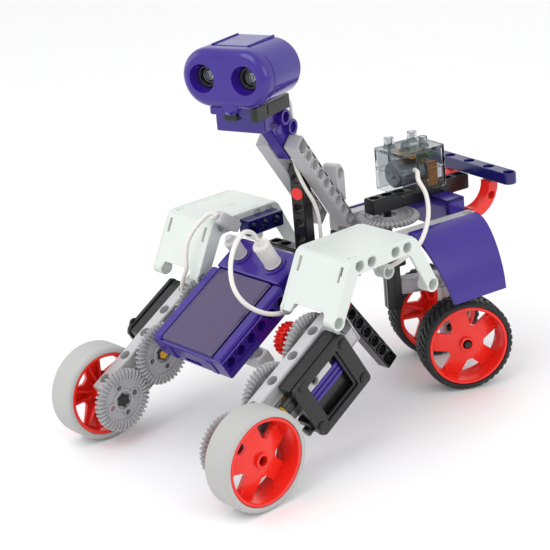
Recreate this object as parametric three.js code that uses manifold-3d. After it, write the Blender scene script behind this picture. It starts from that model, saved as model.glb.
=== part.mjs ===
// A wheeled robot from a construction kit: two sloping front legs with geared drive wheels, a control case
// slung between them, a leaning neck with a sensor head, and a tail with a swivelling pair of wheels.
// Millimetres. +Z is up, the robot faces -Y, and +X is its own left. The floor is Z = 0.
import * as THREE from "three";
import { mergeVertices } from "three/addons/utils/BufferGeometryUtils.js";
import Module from "manifold-3d";

const wasm = await Module();
wasm.setup();

// ---- driving dimensions ----
const PITCH = 10; // hole spacing of the kit
const BEAM = 10; // beam width and height
const HOLE_R = 3.4; // beam hole
const GAP = 0.3; // clearance between touching pieces
const AXLE_R = 2.6; // star axle, drawn as a plain rod
const BORE_R = 2.9; // bore that holds an axle
const HOLE_SIDES = 8;

const WHEEL_R = 31; // tyre outside radius
const WHEEL_W = 20;
const RIM_R = 27; // rim outside radius, under the tyre
const RIM_IN = 25;
const ROUND = 24; // sides of the wheel circles

const MODULE_MM = 1; // gear module
const BIG_TEETH = 40;
const SMALL_TEETH = 20;
const GEAR_W = 4.8;
const HUB_END = 7; // end of a gear's hub, from its inner face
const GEAR_STEP = 40; // between the gear axes of a leg

const LEG_RISE = 30.3; // degrees, slope of the legs and of the case
const LEG_MID = 7; // middle plane of the two legs
const LEG_X = 57; // from there to the inner face of a leg plate
const LEG_N = [-15.8, 14.2]; // a leg plate is three cells high
const LEG_CELLS = 11;
const GEAR_X = 49.7; // from the middle plane to the inner face of the leg gears
const WHEEL_X = 67.5; // and to the inner face of a front wheel

const FRAME_T = [40, 89]; // motor frame along the leg
const FRAME_N = [-29.4, 12.6]; // and across it
const FRAME_X = [67.4, 82]; // and outwards from the middle plane
const FRAME_WALL = 3.5;

const SHOULDER_Y = 89.8; // first flange hole of a shoulder panel
const SHOULDER_Z = 122.3;
const SHOULDER_X = [40, 87.3];
const SHOULDER_WALL = 2.4;

const CASE_HALF = 34;
const CASE_T = [37, 99.5];
const CASE_N = [8, 22.4];
const DECK_HALF = 29.4;
const DECK_T = [100, 127.5];
const DECK_TOP = 25.2;

const NECK_AT = [0, 120]; // where the neck's own upright axis stands
const NECK_TURN = 17; // degrees the neck looks to the robot's left
const NECK_LEAN = 51; // degrees of the neck beams above the floor
const NECK_TOP = [-11.9, 179.1]; // first hole of a neck beam (back, up)
const NECK_CELLS = 9;

const TAIL_AT = [0, 64];
const TAIL_TURN = -8; // degrees the tail swings to the robot's left
const SWIVEL_Y = 184; // upright axis of the rear wheels, along the tail
const SWIVEL_TURN = -20; // degrees the rear wheels are turned
const TRAIL = 37.5;
const REAR_IN = 21.5; // inner face of a rear wheel from the middle of its axle

// ---- colours ----
const paint = (color, roughness = 0.4, metalness = 0) =>
  new THREE.MeshStandardMaterial({ color, roughness, metalness });
const GREY = paint(0xbebcc0);
const GEAR_GREY = paint(0x97979b);
const VIOLET = paint(0x3e2488, 0.25);
const INDIGO = paint(0x1b1b60, 0.3);
const BLACK = paint(0x232325, 0.45);
const RED = paint(0xe82c1e, 0.3);
const TYRE_GREY = paint(0xb2b2b0, 0.75);
const TYRE_BLACK = paint(0x1e2022, 0.8);
const SMOKE = paint(0x4a4a52, 0.15);
const WHITE = paint(0xdedad4, 0.5);
const COPPER = paint(0xa86a2c, 0.4, 0.6);
const STEEL = paint(0x8d9096, 0.35, 0.8);

// ---- solids ----
const rad = THREE.MathUtils.degToRad;

// A closed three.js geometry as a solid, its faces turned out whichever way it was drawn.
function solid(geometry) {
  const flat = geometry.index ? geometry.toNonIndexed() : geometry;
  const bare = new THREE.BufferGeometry();
  bare.setAttribute("position", flat.getAttribute("position"));
  const merged = mergeVertices(bare, 1e-4);
  const vertProperties = merged.attributes.position.array;
  const triVerts = new Uint32Array(merged.index.array);
  const make = () => new wasm.Manifold(new wasm.Mesh({ numProp: 3, vertProperties, triVerts }));
  const body = make();
  if (body.volume() > 0) return body;
  triVerts.reverse();
  return make();
}

// The solid's faceted geometry, moved by a matrix. A mirroring matrix also turns each face round.
function geometryOf(body, matrix = new THREE.Matrix4()) {
  const mesh = body.getMesh();
  const corners = matrix.determinant() < 0 ? mesh.triVerts.slice().reverse() : mesh.triVerts;
  const geometry = new THREE.BufferGeometry();
  geometry.setAttribute("position", new THREE.BufferAttribute(mesh.vertProperties, 3));
  geometry.setIndex(new THREE.BufferAttribute(corners, 1));
  const faceted = geometry.toNonIndexed().applyMatrix4(matrix);
  faceted.computeVertexNormals();
  return faceted;
}

const join = (first, ...rest) => rest.reduce((all, one) => all.add(one), first);
const cut = (first, ...rest) => rest.reduce((all, one) => all.subtract(one), first);

// A block between two corners.
function block(x, y, z) {
  const g = new THREE.BoxGeometry(x[1] - x[0], y[1] - y[0], z[1] - z[0]);
  g.translate((x[0] + x[1]) / 2, (y[0] + y[1]) / 2, (z[0] + z[1]) / 2);
  return solid(g);
}

// A round rod along one axis, from a to b, centred on the other two coordinates.
function rod(axis, radius, a, b, c, sides = HOLE_SIDES) {
  const g = new THREE.CylinderGeometry(radius, radius, b - a, sides);
  g.rotateY(Math.PI / sides);
  g.translate(0, (a + b) / 2, 0);
  if (axis === "x") g.rotateZ(-Math.PI / 2).translate(0, c[0], c[1]);
  if (axis === "y") g.translate(c[0], 0, c[1]);
  if (axis === "z") g.rotateX(Math.PI / 2).translate(c[0], c[1], 0);
  return solid(g);
}

// A flat outline of [y, z] points pushed along X from a to b.
function slabX(points, a, b) {
  const g = new THREE.ExtrudeGeometry(outline(points), { depth: b - a, bevelEnabled: false });
  const turn = new THREE.Matrix4().makeBasis(
    new THREE.Vector3(0, 1, 0),
    new THREE.Vector3(0, 0, 1),
    new THREE.Vector3(1, 0, 0),
  );
  return solid(g.applyMatrix4(turn).translate(a, 0, 0));
}

// A flat outline of [x, z] points pushed along Y from a to b.
function slabY(points, a, b) {
  const g = new THREE.ExtrudeGeometry(outline(points), { depth: b - a, bevelEnabled: false });
  return solid(g.rotateX(Math.PI / 2).translate(0, b, 0));
}

// A flat outline of [x, y] points pushed along Z from a to b.
function slabZ(points, a, b) {
  const g = new THREE.ExtrudeGeometry(outline(points), { depth: b - a, bevelEnabled: false });
  return solid(g.translate(0, 0, a));
}

const outline = (points) => new THREE.Shape(points.map(([u, v]) => new THREE.Vector2(u, v)));

// Points of an arc, angles in degrees.
function arc(cx, cy, r, from, to, steps) {
  return Array.from({ length: steps + 1 }, (_, i) => {
    const a = rad(from + ((to - from) * i) / steps);
    return [cx + r * Math.cos(a), cy + r * Math.sin(a)];
  });
}

// A ring or disc turned about X from a closed list of [radius, x] points.
function turned(profile, sides = ROUND) {
  const closed = [...profile, profile[0]].map(([r, x]) => new THREE.Vector2(r, x));
  return solid(new THREE.LatheGeometry(closed, sides).rotateZ(-Math.PI / 2));
}

// ---- kit pieces ----

// A beam along +Y whose first cell is centred on the origin. Side holes run along X, top holes along Z.
function beam(cells, side = [], top = []) {
  const half = BEAM / 2;
  const body = block([-half, half], [-half, (cells - 1) * PITCH + half], [-half, half]);
  const sides = side.map((i) => rod("x", HOLE_R, -half - 1, half + 1, [i * PITCH, 0]));
  const tops = top.map((i) => rod("z", HOLE_R, -half - 1, half + 1, [0, i * PITCH]));
  return cut(body, ...sides, ...tops);
}

// A leg plate along +Y, three cells high, with a row of axle holes along its middle and pin holes from above.
function legPlate() {
  const length = (LEG_CELLS - 1) * PITCH + BEAM / 2;
  let plate = block([LEG_X, LEG_X + BEAM], [-BEAM / 2, length], LEG_N);
  for (let i = 0; i < LEG_CELLS; i++) {
    if (i % 2 === 0) plate = cut(plate, rod("x", HOLE_R, LEG_X - 1, LEG_X + BEAM + 1, [i * PITCH, 0]));
    else plate = cut(plate, rod("z", HOLE_R, LEG_N[1] - 9, LEG_N[1] + 1, [LEG_X + BEAM / 2, i * PITCH - 7]));
  }
  return plate;
}

const odds = (n) => Array.from({ length: Math.floor(n / 2) }, (_, i) => 2 * i + 1);
const every = (n) => Array.from({ length: n }, (_, i) => i);

// A spur gear about X between x = a and x = b; its teeth are turned by `phase` teeth.
function gear(teeth, a, b, phase = 0) {
  const root = (MODULE_MM * teeth) / 2 - 1.2;
  const tip = (MODULE_MM * teeth) / 2 + 0.9;
  const points = [];
  for (let i = 0; i < teeth; i++) {
    for (const [offset, r] of [[-0.29, root], [-0.13, tip], [0.13, tip], [0.29, root]]) {
      const angle = ((i + phase + offset) * 2 * Math.PI) / teeth;
      points.push([r * Math.cos(angle), r * Math.sin(angle)]);
    }
  }
  return slabX(points, a, b);
}

// A leg gear: toothed ring, thin web, hub, and a hub stub on the beam side.
function legGear(phase, stub) {
  const body = gear(BIG_TEETH, 0, GEAR_W, phase);
  const front = rod("x", 14, -1, 1.8, [0, 0], 16);
  const hub = rod("x", 5.4, 0.3, 3, [0, 0], 12);
  const back = rod("x", 5.4, GEAR_W - 1, HUB_END, [0, 0], 12);
  const all = join(cut(body, front), hub, back);
  return stub > 0 ? join(all, rod("x", AXLE_R, HUB_END - 1, HUB_END + stub, [0, 0])) : all;
}

// The five-spoked rim about X, dished from the outer face at x = 10.
function rim() {
  const half = WHEEL_W / 2 - 0.3;
  const barrel = turned([[RIM_IN, -half], [RIM_R, -half], [RIM_R, half], [RIM_IN, half]]);
  let disc = rod("x", RIM_IN + 1, 0, 3.5, [0, 0], ROUND);
  for (let i = 0; i < 5; i++) {
    const mid = -7 + 72 * i;
    const window = [...arc(0, 0, 11, mid - 14, mid + 14, 1), ...arc(0, 0, 23.6, mid + 25, mid - 25, 3)];
    disc = cut(disc, slabX(window, -1, 5));
  }
  const hub = rod("x", 6.5, -7, 5.5, [0, 0], 12);
  return cut(join(barrel, disc, hub), rod("x", BORE_R, -12, 12, [0, 0]));
}

function tyre() {
  const half = WHEEL_W / 2;
  const seat = RIM_R + GAP;
  return turned([[seat, -half], [29.4, -half], [WHEEL_R, -7.5], [WHEEL_R, 7.5], [29.4, half], [seat, half]]);
}

// One shoulder panel, drawn for the left side with its first flange hole at the origin of Y and Z.
function shoulder() {
  const [a, b] = SHOULDER_X;
  const w = SHOULDER_WALL;
  const band = [[-25, -30], [-7.5, 5], [47.5, 5], [65, -30], [55, -30], [41.5, -5], [-1.5, -5], [-15, -30]];
  const hollow = [[-25.7, -36], [-6.2, 5 - w], [48, 5 - w], [80, -36]];
  const lugs = [[-20, -30], [60, -30]];
  const inner = [w, 9]; // the front inner lug is flat, to clear a gear
  let panel = cut(slabX(band, a, b), slabX(hollow, a + w, b - w));
  panel = cut(panel, block([a + 10, b - 10], [-40, -10], [-40, -25]));
  lugs.forEach((lug, i) => {
    panel = join(panel, rod("x", 5, a, a + inner[i], lug, 12), rod("x", 5, b - 9, b, lug, 12));
  });
  for (const lug of lugs) panel = cut(panel, rod("x", HOLE_R, a - 1, b + 1, lug));
  for (const y of [0, 10, 30, 40]) {
    panel = cut(panel, rod("x", HOLE_R, a - 1, a + w + 0.5, [y, 0]), rod("x", HOLE_R, b - w - 0.5, b + 1, [y, 0]));
  }
  return panel;
}

// The picture-frame housing outside a leg, in the leg's own frame.
function motorFrame() {
  const [t0, t1] = FRAME_T;
  const [n0, n1] = FRAME_N;
  const [x0, x1] = FRAME_X;
  const w = FRAME_WALL;
  const body = block([x0, x1 - 3], [t0 + 1, t1 - 1], [n0 + 1, n1 - 0.5]);
  const plate = block([x1 - 3.2, x1], [t0, t1], [n0, n1]);
  const room = block([x0 - 1, x1 - 3], [t0 + 1 + w, t1 - 1 - w], [n0 + 1 + w, n1 - 0.5 - w]);
  const window = block([x1 - 4, x1 + 1], [t0 + 11, t1 - 12], [n0 + 7.5, n1 - 7]);
  const nose = rod("y", 4.6, t0 - 2, t0 + 10, [x0 + 6, 2], 12);
  return cut(join(body, plate), room, window, nose);
}

function legMotor() {
  const [t0, t1] = FRAME_T;
  const [n0, n1] = FRAME_N;
  const [x0, x1] = FRAME_X;
  const w = FRAME_WALL + 1 + GAP;
  const body = block([x0 + 0.4, x1 - 3.6], [t0 + w, t1 - w], [n0 + w, n1 - w + 0.5]);
  return join(body, rod("y", 4.2, t0 - 7, t0 + 8, [x0 + 6, 2], 12));
}

// ---- assembly ----
const robot = new THREE.Group();
const front = new THREE.Group(); // pieces set square to the floor
const legs = new THREE.Group(); // Y runs up the legs, Z stands off their top faces
const neck = new THREE.Group();
const tail = new THREE.Group();
const swivel = new THREE.Group();
legs.position.set(0, 0, WHEEL_R);
legs.rotation.x = rad(LEG_RISE);
neck.position.set(NECK_AT[0], NECK_AT[1], 0);
neck.rotation.z = rad(NECK_TURN);
tail.position.set(TAIL_AT[0], TAIL_AT[1], 0);
tail.rotation.z = rad(TAIL_TURN);
swivel.position.set(0, SWIVEL_Y - TAIL_AT[1], 0);
swivel.rotation.z = rad(SWIVEL_TURN);
robot.add(front, legs, neck, tail);
tail.add(swivel);

function place(group, name, body, material, matrix) {
  const mesh = new THREE.Mesh(geometryOf(body, matrix), material);
  mesh.name = name;
  group.add(mesh);
}

const shift = (x, y, z) => new THREE.Matrix4().makeTranslation(x, y, z);
const flipX = (m = new THREE.Matrix4()) => new THREE.Matrix4().makeScale(-1, 1, 1).multiply(m);
const turnX = (degrees) => new THREE.Matrix4().makeRotationX(rad(degrees));
const turnY = (degrees) => new THREE.Matrix4().makeRotationY(rad(degrees));
const turnZ = (degrees) => new THREE.Matrix4().makeRotationZ(rad(degrees));
const chain = (...all) => all.reduce((m, n) => m.multiply(n), new THREE.Matrix4());

// Both legs. The right one is the mirror image of the left one.
for (const side of ["left", "right"]) {
  const toSide = (m) => (side === "left" ? m : flipX(m));
  const toLeg = (m) => chain(shift(LEG_MID, 0, 0), toSide(m));
  const wheelMid = WHEEL_X + WHEEL_W / 2;
  place(legs, `leg_plate_${side}`, legPlate(), GREY, toLeg(shift(0, 0, 0)));
  ["a", "b", "c"].forEach((letter, i) => {
    const stub = letter === "a" ? 0 : 10;
    let body = legGear(i === 1 ? 0.5 : 0, stub);
    if (letter === "a") {
      const reach = wheelMid + 8 - GEAR_X;
      body = join(body, rod("x", AXLE_R, 5, reach, [0, 0]));
    }
    place(legs, `gear_${letter}_${side}`, body, GEAR_GREY, toLeg(shift(GEAR_X, i * GEAR_STEP, 0)));
  });
  place(legs, `motor_frame_${side}`, motorFrame(), BLACK, toLeg(shift(0, 0, 0)));
  place(legs, `leg_motor_${side}`, legMotor(), STEEL, toLeg(shift(0, 0, 0)));
  place(front, `rim_front_${side}`, rim(), RED, toLeg(shift(wheelMid, 0, WHEEL_R)));
  place(front, `tyre_front_${side}`, tyre(), TYRE_GREY, toLeg(shift(wheelMid, 0, WHEEL_R)));
  place(front, `shoulder_${side}`, shoulder(), GREY, toSide(shift(0, SHOULDER_Y, SHOULDER_Z)));
}

// A black beam hanging back from behind the left leg, and a dark one under the right shoulder.
const link = chain(shift(49.7, 143, 33.5), turnX(126.8), shift(0, 5, 0));
place(front, "link_beam", beam(9, every(9)), BLACK, link);
place(front, "shoulder_beam", beam(3, every(3)), INDIGO, shift(-34.7, 108, 118.5));

// The cross beams that tie the legs and the shoulders together.
place(legs, "cross_beam_low", beam(8, [], every(8)), GREY, chain(shift(-35, 60, 1.5), turnZ(-90)));

// The small red gear inside the left leg, on the same axle as gear c.
const redGear = join(gear(SMALL_TEETH, 37.6, 44.4), rod("x", 5, 44, 55.7, [0, 0], 12));
place(legs, "red_gear", redGear, RED, shift(0, 80, 0));

// The control case, its smoked lid, and the battery block under the lid.
function controlCase() {
  const [t0, t1] = CASE_T;
  const [n0, n1] = CASE_N;
  const tray = block([-CASE_HALF, CASE_HALF], [t0, t1], [n0, n1]);
  const well = block([-22, 22], [t0 + 6, t1 - 6], [n0 + 2.4, n1 + 1]);
  const deck = block([-DECK_HALF, DECK_HALF], [t1 - 0.5, DECK_T[1]], [14, DECK_TOP]);
  let body = join(cut(tray, well), deck);
  for (let i = 0; i < 6; i++) {
    const at = [t0 + 6 + i * PITCH, n1 - 5];
    body = cut(body, rod("x", HOLE_R, -CASE_HALF - 1, -CASE_HALF + 6, at), rod("x", HOLE_R, CASE_HALF - 6, CASE_HALF + 1, at));
  }
  return body;
}
const LID_N = CASE_N[1] + GAP;
place(legs, "control_case", controlCase(), VIOLET);
place(legs, "case_lid", block([-24, 24], [CASE_T[0] + 1.5, CASE_T[1] - 0.9], [LID_N, LID_N + 2.5]), SMOKE);
place(legs, "battery_block", block([-20, 20], [CASE_T[0] + 8, CASE_T[1] - 8], [CASE_N[0] + 2.8, CASE_N[1] - 1.5]), STEEL);

// Round plugs standing on the deck, and a flat plug beside the right shoulder.
function roundPlug(radius, height) {
  return join(rod("z", radius, 0, height, [0, 0], 12), rod("z", 2.6, height - 1, height + 3, [0, 0]));
}
const plugBase = DECK_TOP + GAP;
place(legs, "plug_white", roundPlug(5.6, 19), WHITE, shift(15, 112.4, plugBase));
place(legs, "plug_grey", roundPlug(4.8, 15), WHITE, shift(-15.8, 111.6, plugBase));
place(front, "plug_flat", block([-4, 4], [0, 18], [-4, 4]), GREY, chain(shift(-34.7, 83, 132), turnX(-38)));

// ---- neck and head, in the neck's own frame ----
const lean = chain(shift(0, NECK_TOP[0], NECK_TOP[1]), turnX(-NECK_LEAN));
for (const [side, x] of [["left", PITCH + GAP], ["right", -PITCH - GAP]]) {
  const at = chain(shift(x, 0, 0), lean);
  place(neck, `neck_beam_${side}`, beam(NECK_CELLS, every(NECK_CELLS)), GREY, at);
}
const mastFoot = 103;
place(neck, "mast", join(block([-4.8, 4.8], [1, 11], [mastFoot, 163])), BLACK);

// The violet beam between the neck beams, with its angle plate at the top.
function neckBracket() {
  const bar = block([-4.8, 4.8], [-27.5, 9], [-5, 5]);
  return solid(geometryOf(bar, lean));
}
const anglePlate = join(
  block([-29, 4.8], [-38.5, -35.5], [193.5, 204]),
  block([1.8, 4.8], [-37, -12], [193.5, 204]),
);
place(neck, "neck_bracket", join(neckBracket(), anglePlate), VIOLET);

// The yoke the head tips on, its pin across a slot.
const HEAD_PIVOT = [-46, 210.5];
const yokeBody = block([-14, 10], [-52, -14], [204.4, 213.4]);
const yokeSlot = block([-5, 5], [-53, -38], [203, 215]);
const yokePin = rod("x", 2.4, -6, 6, HEAD_PIVOT);
place(neck, "head_yoke", join(cut(yokeBody, yokeSlot), yokePin), BLACK);

// The head shell: a long rounded box with two eye openings and a lug on the pin.
const HEAD_HALF = 12.2; // half the straight part of the outline
const HEAD_R = 17.8;
const HEAD_Y = [-69, -28];
const HEAD_Z = 234.5;
const EYE_X = 14.7;
const EYE_R = 8.2;
function capsule(half, r, steps) {
  return [...arc(half, HEAD_Z, r, -90, 90, steps), ...arc(-half, HEAD_Z, r, 90, 270, steps)];
}
function headShell() {
  const [front0, back] = HEAD_Y;
  const outer = slabY(capsule(HEAD_HALF, HEAD_R, 10), front0, back);
  const inner = slabY(capsule(HEAD_HALF, HEAD_R - 2.4, 8), front0 + 3, back - 2.4);
  const eyes = [-EYE_X, EYE_X].map((x) => rod("y", EYE_R, front0 - 1, front0 + 4, [x, HEAD_Z], 16));
  const lug = block([-4.5, 4.5], [-50, -42], [206, 219]);
  const bore = rod("x", 3, -6, 6, HEAD_PIVOT);
  return cut(join(cut(outer, inner), lug), ...eyes, bore);
}
place(neck, "head_shell", headShell(), VIOLET);
const board = block([-22, 22], [-46, -44.4], [HEAD_Z - 9, HEAD_Z + 9]);
const cans = [-EYE_X, EYE_X].map((x) => rod("y", EYE_R - 0.4, HEAD_Y[0] + 1.2, -45, [x, HEAD_Z], 16));
place(neck, "sensor_module", join(board, ...cans), STEEL);

// A short grey angle beam behind the left neck beam.
const elbow = slabX([[26, 141.2], [36, 128.9], [36, 152], [32, 156], [26, 156]], 5.3, 15.3);
place(neck, "neck_elbow", elbow, GREY);

// ---- tail, in the tail's own frame; `back` measures along it in the same numbers as Y ----
const back = (y) => y - TAIL_AT[1];
const TAIL_BEAM_Z = 124;
place(tail, "tail_beam", beam(8, [], every(8)), BLACK, shift(0, back(SWIVEL_Y - 10), TAIL_BEAM_Z));
for (const [side, s] of [["left", 1], ["right", -1]]) {
  const sideX = (m) => (s > 0 ? m : flipX(m));
  place(tail, `side_beam_${side}`, beam(7, odds(7), [6]), GREY, sideX(shift(30, back(166), 108)));
  const fenderBand = [
    [35.4, 114], [47, 108], [57, 92], [63.5, 68], [61.3, 67.4], [55, 91], [45.6, 106], [35.4, 111.6],
  ];
  const trim = slabX([[back(160), 115.5], [back(173.5), 115.5], [back(188), 60], [back(160), 60]], 30, 70);
  place(tail, `fender_${side}`, cut(slabY(fenderBand, back(173.5), back(229)), trim), VIOLET, sideX(shift(0, 0, 0)));
  const curve = [...arc(236, 126, 22, -95, 4, 9), ...arc(236, 126, 14, 4, -95, 9)].map(([y, z]) => [back(y), z]);
  place(tail, `red_arm_${side}`, slabX(curve, 15.3, 24.6), RED, sideX(shift(0, 0, 0)));
}
function spoiler() {
  const ends = [...arc(40, 0, 5, -90, 90, 5), ...arc(-40, 0, 5, 90, 270, 5)];
  let body = slabZ(ends, 0, 8);
  for (const x of [-40, -20, 0, 20, 40]) body = cut(body, rod("z", HOLE_R, -1, 9, [x, 0]));
  return body;
}
place(tail, "spoiler", spoiler(), INDIGO, shift(0, back(254), 128.4));
const bracket = cut(
  block([-24.6, 24.6], [back(214), back(229)], [102, 122.4]),
  block([-21.6, 21.6], [back(217), back(230)], [101, 119.4]),
  block([-5.4, 5.4], [back(213), back(230)], [118.6, 123]),
);
place(tail, "tail_bracket", bracket, VIOLET);

// The clear motor housing with its pegs, and the motor and board inside it.
const MOTOR_Y = [186, 223];
const MOTOR_Z = [129.4, 157.5];
function motorBox() {
  const [y0, y1] = MOTOR_Y.map(back);
  const [z0, z1] = MOTOR_Z;
  const outside = block([-15, 15], [y0, y1], [z0, z1]);
  const inside = block([-13.2, 13.2], [y0 + 1.8, y1 - 1.8], [z0 - 1, z1 - 1.8]);
  const pegs = [[-7.5, y0 + 8], [7.5, y0 + 10], [7.5, y0 + 24], [-7.5, y0 + 27]].map((at) =>
    rod("z", 3.3, z1 - 1, z1 + 6.5, at, 10),
  );
  return join(cut(outside, inside), ...pegs);
}
place(tail, "motor_housing", motorBox(), SMOKE);
const can = rod("y", 9, back(190), back(210), [0, 141], 16);
const gearbox = block([-11, 11], [back(208), back(219)], [130, 152]);
place(tail, "tail_motor", join(can, gearbox), COPPER);

// The swivelling rear: a flat gear on an upright star axle, an arm trailing back, and a pair of wheels.
const flatGear = solid(geometryOf(legGear(0, 0), turnY(90)));
const gearTop = 116;
place(swivel, "swivel_gear", cut(flatGear, rod("z", BORE_R, -20, 20, [0, 0])), GEAR_GREY, shift(0, 0, gearTop));
const post = block([-4.8, 4.8], [-4.8, 4.8], [50, 101.6]);
place(swivel, "swivel_post", join(post, rod("z", AXLE_R, 101, 126, [0, 0], 12)), BLACK);
function swivelArm() {
  const across = block([-5, 5], [5.1, TRAIL + 5], [60, 70]);
  const leg = block([-5, 5], [TRAIL - 5, TRAIL + 5], [24, 61]);
  return cut(join(across, leg), rod("x", BORE_R, -6, 6, [TRAIL, WHEEL_R]));
}
place(swivel, "swivel_arm", swivelArm(), GREY);
const rearHalf = REAR_IN + WHEEL_W / 2;
place(swivel, "rear_axle", rod("x", AXLE_R, -rearHalf - 8, rearHalf + 8, [TRAIL, WHEEL_R], 12), BLACK);
for (const [side, s] of [["left", 1], ["right", -1]]) {
  const at = shift(rearHalf, TRAIL, WHEEL_R);
  place(swivel, `rim_rear_${side}`, rim(), RED, s > 0 ? at : flipX(at));
  place(swivel, `tyre_rear_${side}`, tyre(), TYRE_BLACK, s > 0 ? at : flipX(at));
}

// The tie that joins both shoulders, the mast and the tail's side beams, seen from nowhere but below.
const TIE_Z = [92.6, 102.6];
const tailTie = join(
  block([-5, 5], [back(132), back(162)], TIE_Z),
  block([-35, 35], [back(161.4), back(170)], TIE_Z),
);
const tailMatrix = chain(shift(TAIL_AT[0], TAIL_AT[1], 0), turnZ(TAIL_TURN));
const crossTie = block([-39.6, 39.6], [124, 134], TIE_Z);
place(front, "frame_tie", join(crossTie, solid(geometryOf(tailTie, tailMatrix))), BLACK);

// ---- free cables, each a smooth run through its points ----
const CABLES = {
  cable_case: [
    [15, 72.9, 129], [15.4, 69, 134.6], [18, 60, 138], [22, 48.5, 132.5], [25.5, 41.5, 122], [29.5, 39.5, 111],
    [33.5, 43, 101.5], [37, 52, 93.5], [38.2, 63, 89], [38.2, 74, 88.5], [38, 84, 92],
  ],
  cable_motor: [
    [34, 192.6, 146], [38.5, 190.5, 146], [44, 185.5, 143], [50, 185.5, 134.6], [56, 180.6, 123], [62, 168.5, 112.6],
    [64.5, 158.5, 108], [62, 149, 103.5], [57, 141, 99],
  ],
  cable_plug: [
    [-52.1, 61, 85.2], [-48.3, 60, 93.5], [-44.8, 60.8, 101.5], [-46, 62.3, 107.7], [-47, 65.4, 116.5],
    [-46, 70.2, 123.8], [-43, 76, 130], [-38, 79.8, 134.6], [-34.7, 82, 132.9],
  ],
};
const HEAD_CABLE = [
  [4, -13.6, 209], [4.2, -8.5, 208.6], [4.2, -5, 204], [3.4, -3, 195], [3, -0.5, 186], [2.6, 1.8, 177],
  [2.4, -0.2, 170.5], [2.6, -2.6, 165], [5, -2.6, 156.5], [8, -1.8, 149], [11, 3, 137], [12.2, 5, 127], [11, 8, 105],
];
function cable(points, radius = 1.5, steps = 20) {
  const path = new THREE.CatmullRomCurve3(points.map((p) => new THREE.Vector3(...p)));
  const ring = outline(arc(0, 0, radius, 0, 315, HOLE_SIDES - 1));
  return solid(new THREE.ExtrudeGeometry(ring, { steps, bevelEnabled: false, extrudePath: path }));
}
for (const [name, points] of Object.entries(CABLES)) place(front, name, cable(points), WHITE);
place(neck, "cable_head", cable(HEAD_CABLE, 1.2), WHITE);

export default robot;
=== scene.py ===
import math

import bmesh
import bpy
from mathutils import Matrix, Vector


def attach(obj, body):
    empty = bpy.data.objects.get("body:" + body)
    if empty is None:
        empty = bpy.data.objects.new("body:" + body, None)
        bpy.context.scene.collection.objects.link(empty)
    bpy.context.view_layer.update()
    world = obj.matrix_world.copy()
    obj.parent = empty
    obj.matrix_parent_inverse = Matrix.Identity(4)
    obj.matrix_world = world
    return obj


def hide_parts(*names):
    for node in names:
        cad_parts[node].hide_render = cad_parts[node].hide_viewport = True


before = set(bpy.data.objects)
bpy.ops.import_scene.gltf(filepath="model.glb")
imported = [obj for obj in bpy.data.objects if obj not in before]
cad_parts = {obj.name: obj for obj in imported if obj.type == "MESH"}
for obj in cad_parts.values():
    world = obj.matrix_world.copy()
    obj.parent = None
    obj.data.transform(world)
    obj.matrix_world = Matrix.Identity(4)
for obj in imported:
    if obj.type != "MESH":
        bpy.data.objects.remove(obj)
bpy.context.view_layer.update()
rad = math.radians

# Shapes are drawn in millimetres, in the part's own frame or in one of the leaning frames set up below.
MM = 0.001
PITCH = 10
HOLE_R = 3.5
AXLE_R = 2.6
BORE_R = 2.9
WHEEL_R = 31
LEG_RISE = 30.3  # degrees, slope of the legs and of the control case
LEG_MID = 7  # middle plane of the two legs
GEAR_X = 49.7  # inner face of the leg gears from there
WHEEL_MID = 77.5  # middle of a front wheel from there
GEAR_STEP = 40  # between the gear axes of a leg
NECK_Y, NECK_TURN, NECK_LEAN = 120, 17, 51
TAIL_Y, TAIL_TURN = 64, -8
SWIVEL_Y, SWIVEL_TURN, TRAIL = 184, -20, 37.5
REAR_MID = 31.5  # middle of a rear wheel from the middle of its axle


def srgb(r, g, b):
    """Linear colour of an 8-bit sRGB one."""
    out = []
    for c in (r, g, b):
        c /= 255
        out.append(c / 12.92 if c <= 0.04045 else ((c + 0.055) / 1.055) ** 2.4)
    return (*out, 1)


# ---------------------------------------------------------------- camera
AZ, EL, ROLL = rad(50.36), rad(19.94), rad(-5.15)
back = Vector((math.sin(AZ) * math.cos(EL), -math.cos(AZ) * math.cos(EL), math.sin(EL)))
right = Vector((math.cos(AZ), math.sin(AZ), 0))
up = back.cross(right)
right2 = right * math.cos(ROLL) + up * math.sin(ROLL)
up2 = up * math.cos(ROLL) - right * math.sin(ROLL)
cam_data = bpy.data.cameras.new("camera")
cam_data.sensor_width = 36
cam_data.lens = 108.77
cam_data.clip_start = 0.05
cam = bpy.data.objects.new("camera", cam_data)
bpy.context.scene.collection.objects.link(cam)
turn = Matrix((right2, up2, back)).transposed().to_4x4()
cam.matrix_world = Matrix.Translation((0.76356, -0.53594, 0.45539)) @ turn
bpy.context.scene.camera = cam


# ---------------------------------------------------------------- materials
def node_material(name):
    mat = bpy.data.materials.new(name)
    mat.use_nodes = True
    nt = mat.node_tree
    return mat, nt, nt.nodes["Principled BSDF"]


def noise(nt, scale, detail=2.0):
    coord = nt.nodes.new("ShaderNodeTexCoord")
    tex = nt.nodes.new("ShaderNodeTexNoise")
    tex.inputs["Scale"].default_value = scale
    tex.inputs["Detail"].default_value = detail
    nt.links.new(coord.outputs["Object"], tex.inputs["Vector"])
    return tex.outputs["Fac"]


def ranged(nt, fac, low, high):
    m = nt.nodes.new("ShaderNodeMapRange")
    nt.links.new(fac, m.inputs["Value"])
    m.inputs["From Min"].default_value = 0.3
    m.inputs["From Max"].default_value = 0.7
    m.inputs["To Min"].default_value = low
    m.inputs["To Max"].default_value = high
    return m.outputs["Result"]


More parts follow.
